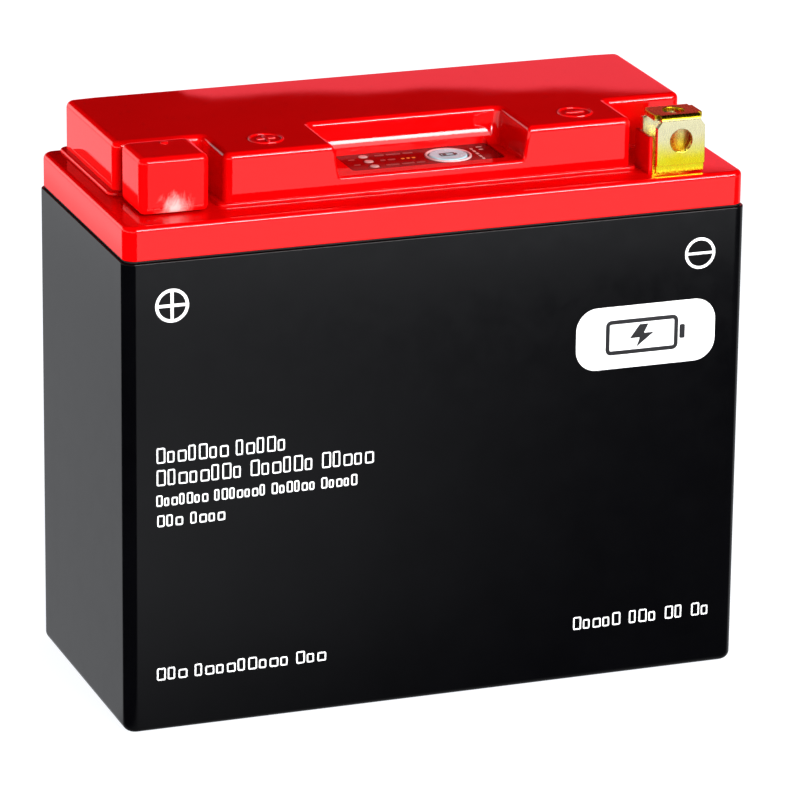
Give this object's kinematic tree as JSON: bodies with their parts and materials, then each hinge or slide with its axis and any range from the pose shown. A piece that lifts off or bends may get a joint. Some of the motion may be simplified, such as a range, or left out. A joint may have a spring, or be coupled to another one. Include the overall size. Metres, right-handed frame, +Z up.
{
  "type": "motorcycle battery",
  "caption": "Rectangular starter battery with a black case, red stepped lid, bent brass bolt terminals, a lift-off terminal cap and a recessed charge indicator with a push button.",
  "frame": {"origin": "middle of the flat base of the case", "axes": "+X along the length to the viewer's right when facing the printed face, +Y from the printed face to the back, +Z up; the printed face looks along -Y"},
  "size_m": [0.15, 0.067, 0.1341],
  "materials": {
    "case_plastic": "moulded gloss black",
    "lid_plastic": "moulded gloss red",
    "seal_rubber": "matte black",
    "terminal_brass": "bent bright brass strip",
    "cap_plastic": "moulded gloss red",
    "panel_film": "printed dark red film",
    "button_plastic": "satin silver grey",
    "light_pipe": "clear white",
    "circuit_board": "green solder mask",
    "chip_plastic": "black moulded",
    "cell_can": "blue shrink film over an aluminium can",
    "link_nickel": "nickel plated strip",
    "foam": "closed cell foam",
    "screw_steel": "zinc plated",
    "band_film": "amber tape",
    "lead_insulation": "insulated wire"
  },
  "bodies": {
    "battery": {"case": "case_plastic", "lid": "lid_plastic", "lid_seal": "seal_rubber", "negative_terminal": "terminal_brass", "positive_terminal": "terminal_brass", "indicator_panel": "panel_film", "button_bezel": "button_plastic", "indicator_light_1": "light_pipe", "indicator_light_2": "light_pipe", "indicator_light_3": "light_pipe", "indicator_board": "circuit_board", "indicator_screw_1": "screw_steel", "indicator_screw_2": "screw_steel", "tact_switch": "chip_plastic", "cell_1": "cell_can", "cell_2": "cell_can", "cell_3": "cell_can", "cell_4": "cell_can", "series_link_1": "link_nickel", "series_link_2": "link_nickel", "series_link_3": "link_nickel", "negative_busbar": "link_nickel", "positive_busbar": "link_nickel", "negative_lug_screw": "screw_steel", "positive_lug_screw": "screw_steel", "negative_lug_nut": "screw_steel", "positive_lug_nut": "screw_steel", "cell_band_1": "band_film", "cell_band_2": "band_film", "foam_base_pad": "foam", "foam_block_left": "foam", "foam_block_right": "foam", "balance_board": "circuit_board", "board_screw_1": "screw_steel", "board_screw_2": "screw_steel", "board_screw_3": "screw_steel", "board_screw_4": "screw_steel", "switch_transistor_1": "chip_plastic", "switch_transistor_2": "chip_plastic", "balance_chip": "chip_plastic", "balance_connector": "light_pipe", "indicator_connector": "light_pipe", "indicator_lead": "lead_insulation", "balance_lead": "lead_insulation"},
    "button": {"test_button": "button_plastic"},
    "cap": {"positive_terminal_cap": "cap_plastic"}
  },
  "joints": [
    {"name": "test_button_press", "type": "slide", "parent": "battery", "child": "button", "axis": [0, 0, -1], "range_m": [0, 0.0008], "stiffness_N_per_m": 1500},
    {"name": "positive_cap_lift", "type": "slide", "parent": "battery", "child": "cap", "axis": [0, 0, 1], "range_m": [0, 0.03]}
  ]
}
